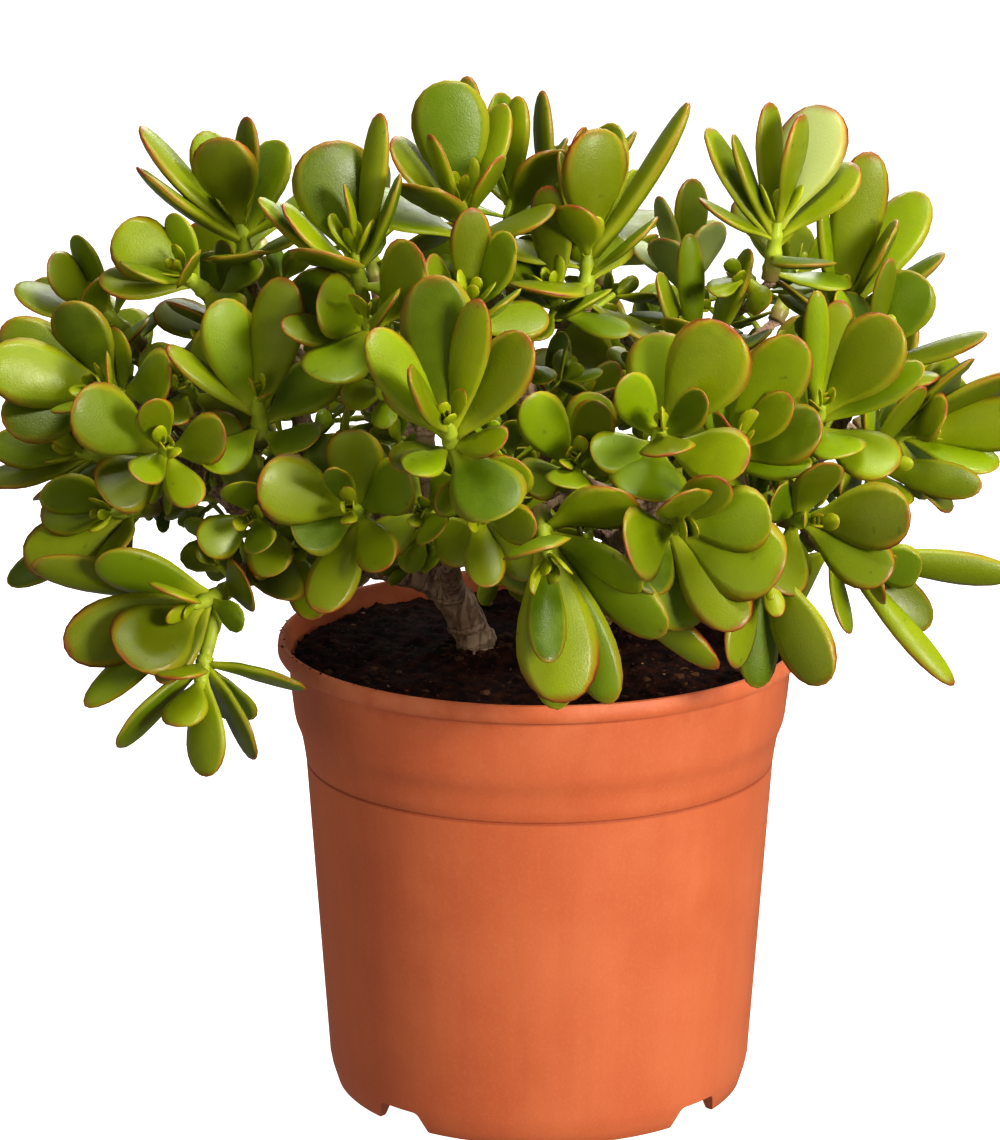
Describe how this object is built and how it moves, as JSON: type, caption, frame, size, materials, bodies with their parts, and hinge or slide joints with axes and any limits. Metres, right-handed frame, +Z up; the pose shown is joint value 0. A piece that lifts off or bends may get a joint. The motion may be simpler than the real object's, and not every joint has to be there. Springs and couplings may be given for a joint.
{
  "type": "potted jade plant",
  "caption": "Succulent jade plant with thick spoon-shaped leaves on branching woody stems, in a round tapered plastic nursery pot filled with peat soil.",
  "frame": {"origin": "middle of the pot's underside, on the surface it stands on", "axes": "+Z up; the side seen in the picture faces -Y, +X is to the right seen from there"},
  "size_m": [0.3712, 0.3174, 0.3739],
  "materials": {
    "pot_plastic": "matte terracotta-orange moulded plastic, faintly mottled",
    "peat": "damp dark peat with coarse crumbs",
    "bark": "grey-brown bark with ring-shaped leaf scars",
    "leaf": "waxy green leaf with a red margin"
  },
  "bodies": {
    "root": {"pot": "pot_plastic", "soil": "peat", "stem_back_1": "leaf", "stem_back_10": "leaf", "stem_back_11": "leaf", "stem_back_12": "leaf", "stem_back_13": "leaf", "stem_back_14": "leaf", "stem_back_2": "leaf", "stem_back_3": "leaf", "stem_back_4": "leaf", "stem_back_5": "leaf", "stem_back_6": "leaf", "stem_back_7": "leaf", "stem_back_8": "leaf", "stem_back_9": "leaf", "stem_centre_back": "leaf", "stem_front_dark": "leaf", "stem_front_hanging": "leaf", "stem_front_left": "leaf", "stem_front_pale": "leaf", "stem_front_right": "leaf", "stem_front_small": "leaf", "stem_front_upper": "leaf", "stem_inner_centre": "leaf", "stem_inner_front": "leaf", "stem_inner_left": "leaf", "stem_inner_low": "leaf", "stem_inner_right": "leaf", "stem_inner_upper": "leaf", "stem_left_back": "leaf", "stem_left_cluster": "leaf", "stem_left_crown": "leaf", "stem_left_curl": "leaf", "stem_left_edge": "leaf", "stem_left_far": "leaf", "stem_left_front": "leaf", "stem_left_hanging": "leaf", "stem_left_inner": "leaf", "stem_left_low": "leaf", "stem_left_mid": "leaf", "stem_left_upper": "leaf", "stem_middle_narrow": "leaf", "stem_middle_right": "leaf", "stem_right_back": "leaf", "stem_right_crown": "leaf", "stem_right_front": "leaf", "stem_right_hanging": "leaf", "stem_right_high": "leaf", "stem_right_low": "leaf", "stem_right_tip": "leaf", "stem_right_trailing": "leaf", "stem_right_upper": "leaf", "stem_top": "leaf", "stem_top_back": "leaf", "stem_top_left": "leaf", "stem_top_low": "leaf", "stem_top_right": "leaf", "trunk_left": "bark", "trunk_right": "bark"}
  },
  "joints": []
}
